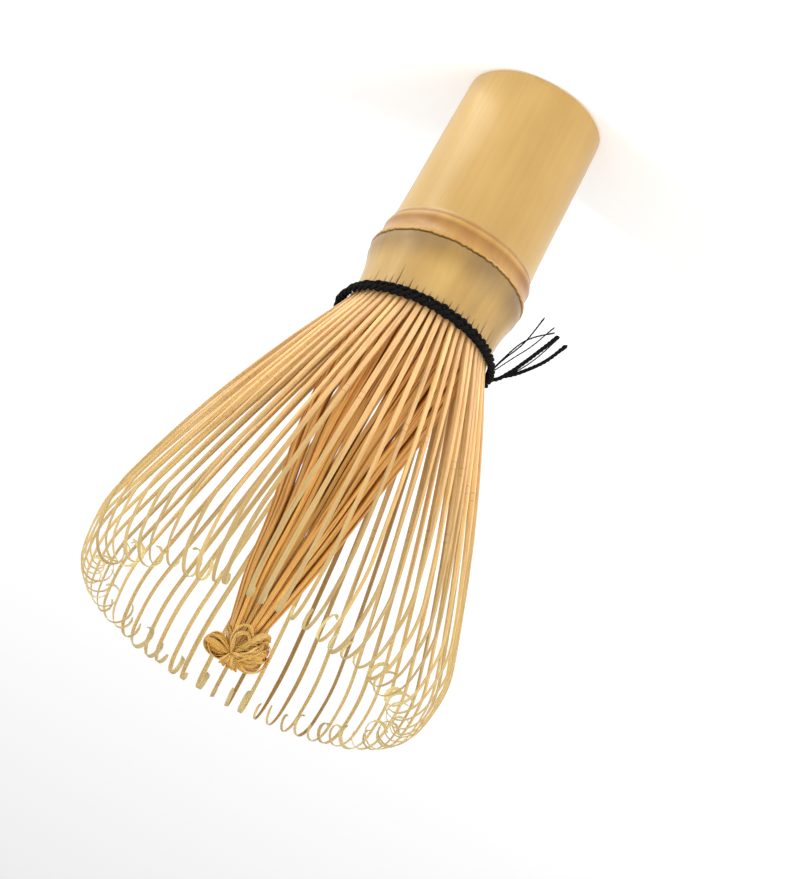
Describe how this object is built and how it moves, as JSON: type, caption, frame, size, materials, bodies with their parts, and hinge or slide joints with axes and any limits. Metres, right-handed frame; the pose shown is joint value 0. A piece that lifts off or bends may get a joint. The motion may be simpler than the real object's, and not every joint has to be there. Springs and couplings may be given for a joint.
{
  "type": "bamboo tea whisk",
  "caption": "Bamboo tea whisk: a culm handle whose split outer tines open in a ring round a bundle of inner tines, bound at the neck with black thread.",
  "frame": {"origin": "centre of the butt's flat face, on which the whisk stands", "axes": "+Z along the handle towards the tips of the tines; the loose thread ends leave towards -X"},
  "size_m": [0.0604, 0.0604, 0.1117],
  "materials": {
    "bamboo_skin": "satin bamboo skin, with the pinkish ridge of its node",
    "bamboo_tine": "split and scraped bamboo, matt",
    "bamboo_core": "split inner bamboo, matt, darker between the strips",
    "cotton_thread": "black twisted cotton thread"
  },
  "bodies": {
    "handle": {"culm": "bamboo_skin", "thread_row_neck": "cotton_thread", "thread_row_tines": "cotton_thread", "thread_end_long": "cotton_thread", "thread_end_short": "cotton_thread", "thread_fibre_1": "cotton_thread", "thread_fibre_2": "cotton_thread", "thread_fibre_3": "cotton_thread", "thread_fibre_4": "cotton_thread"},
    "outer_set_01": {"outer_tines_01": "bamboo_tine"},
    "outer_set_02": {"outer_tines_02": "bamboo_tine"},
    "outer_set_03": {"outer_tines_03": "bamboo_tine"},
    "outer_set_04": {"outer_tines_04": "bamboo_tine"},
    "outer_set_05": {"outer_tines_05": "bamboo_tine"},
    "outer_set_06": {"outer_tines_06": "bamboo_tine"},
    "outer_set_07": {"outer_tines_07": "bamboo_tine"},
    "outer_set_08": {"outer_tines_08": "bamboo_tine"},
    "outer_set_09": {"outer_tines_09": "bamboo_tine"},
    "outer_set_10": {"outer_tines_10": "bamboo_tine"},
    "outer_set_11": {"outer_tines_11": "bamboo_tine"},
    "outer_set_12": {"outer_tines_12": "bamboo_tine"},
    "outer_set_13": {"outer_tines_13": "bamboo_tine"},
    "outer_set_14": {"outer_tines_14": "bamboo_tine"},
    "outer_set_15": {"outer_tines_15": "bamboo_tine"},
    "outer_set_16": {"outer_tines_16": "bamboo_tine"},
    "core": {"inner_tines_01": "bamboo_core", "inner_tines_02": "bamboo_core", "inner_tines_03": "bamboo_core", "inner_tines_04": "bamboo_core", "inner_tines_05": "bamboo_core", "inner_tines_06": "bamboo_core", "inner_tines_07": "bamboo_core", "inner_tines_08": "bamboo_core", "inner_tines_09": "bamboo_core", "inner_tines_10": "bamboo_core", "inner_tines_11": "bamboo_core", "inner_tines_12": "bamboo_core", "inner_tines_13": "bamboo_core", "inner_tines_14": "bamboo_core", "inner_tines_15": "bamboo_core", "inner_tines_16": "bamboo_core", "bow_loop_left": "bamboo_core", "bow_loop_right": "bamboo_core", "bow_fringe": "bamboo_core"}
  },
  "joints": [
    {"name": "flex_outer_01", "type": "hinge", "parent": "handle", "child": "outer_set_01", "pos_m": [0.01177, 0.00234, 0.0478], "axis": [-0.1951, 0.9808, 0], "range_deg": [-3, 6], "stiffness_Nm_per_rad": 0.03},
    {"name": "flex_outer_02", "type": "hinge", "parent": "handle", "child": "outer_set_02", "pos_m": [0.00998, 0.00667, 0.0478], "axis": [-0.5556, 0.8315, 0], "range_deg": [-3, 6], "stiffness_Nm_per_rad": 0.03},
    {"name": "flex_outer_03", "type": "hinge", "parent": "handle", "child": "outer_set_03", "pos_m": [0.00667, 0.00998, 0.0478], "axis": [-0.8315, 0.5556, 0], "range_deg": [-3, 6], "stiffness_Nm_per_rad": 0.03},
    {"name": "flex_outer_04", "type": "hinge", "parent": "handle", "child": "outer_set_04", "pos_m": [0.00234, 0.01177, 0.0478], "axis": [-0.9808, 0.1951, 0], "range_deg": [-3, 6], "stiffness_Nm_per_rad": 0.03},
    {"name": "flex_outer_05", "type": "hinge", "parent": "handle", "child": "outer_set_05", "pos_m": [-0.00234, 0.01177, 0.0478], "axis": [-0.9808, -0.1951, 0], "range_deg": [-3, 6], "stiffness_Nm_per_rad": 0.03},
    {"name": "flex_outer_06", "type": "hinge", "parent": "handle", "child": "outer_set_06", "pos_m": [-0.00667, 0.00998, 0.0478], "axis": [-0.8315, -0.5556, 0], "range_deg": [-3, 6], "stiffness_Nm_per_rad": 0.03},
    {"name": "flex_outer_07", "type": "hinge", "parent": "handle", "child": "outer_set_07", "pos_m": [-0.00998, 0.00667, 0.0478], "axis": [-0.5556, -0.8315, 0], "range_deg": [-3, 6], "stiffness_Nm_per_rad": 0.03},
    {"name": "flex_outer_08", "type": "hinge", "parent": "handle", "child": "outer_set_08", "pos_m": [-0.01177, 0.00234, 0.0478], "axis": [-0.1951, -0.9808, 0], "range_deg": [-3, 6], "stiffness_Nm_per_rad": 0.03},
    {"name": "flex_outer_09", "type": "hinge", "parent": "handle", "child": "outer_set_09", "pos_m": [-0.01177, -0.00234, 0.0478], "axis": [0.1951, -0.9808, 0], "range_deg": [-3, 6], "stiffness_Nm_per_rad": 0.03},
    {"name": "flex_outer_10", "type": "hinge", "parent": "handle", "child": "outer_set_10", "pos_m": [-0.00998, -0.00667, 0.0478], "axis": [0.5556, -0.8315, 0], "range_deg": [-3, 6], "stiffness_Nm_per_rad": 0.03},
    {"name": "flex_outer_11", "type": "hinge", "parent": "handle", "child": "outer_set_11", "pos_m": [-0.00667, -0.00998, 0.0478], "axis": [0.8315, -0.5556, 0], "range_deg": [-3, 6], "stiffness_Nm_per_rad": 0.03},
    {"name": "flex_outer_12", "type": "hinge", "parent": "handle", "child": "outer_set_12", "pos_m": [-0.00234, -0.01177, 0.0478], "axis": [0.9808, -0.1951, 0], "range_deg": [-3, 6], "stiffness_Nm_per_rad": 0.03},
    {"name": "flex_outer_13", "type": "hinge", "parent": "handle", "child": "outer_set_13", "pos_m": [0.00234, -0.01177, 0.0478], "axis": [0.9808, 0.1951, 0], "range_deg": [-3, 6], "stiffness_Nm_per_rad": 0.03},
    {"name": "flex_outer_14", "type": "hinge", "parent": "handle", "child": "outer_set_14", "pos_m": [0.00667, -0.00998, 0.0478], "axis": [0.8315, 0.5556, 0], "range_deg": [-3, 6], "stiffness_Nm_per_rad": 0.03},
    {"name": "flex_outer_15", "type": "hinge", "parent": "handle", "child": "outer_set_15", "pos_m": [0.00998, -0.00667, 0.0478], "axis": [0.5556, 0.8315, 0], "range_deg": [-3, 6], "stiffness_Nm_per_rad": 0.03},
    {"name": "flex_outer_16", "type": "hinge", "parent": "handle", "child": "outer_set_16", "pos_m": [0.01177, -0.00234, 0.0478], "axis": [0.1951, 0.9808, 0], "range_deg": [-3, 6], "stiffness_Nm_per_rad": 0.03},
    {"name": "sway_core", "type": "hinge", "parent": "handle", "child": "core", "pos_m": [0, 0, 0.047], "axis": [0, 1, 0], "range_deg": [-2, 2], "stiffness_Nm_per_rad": 0.3}
  ]
}
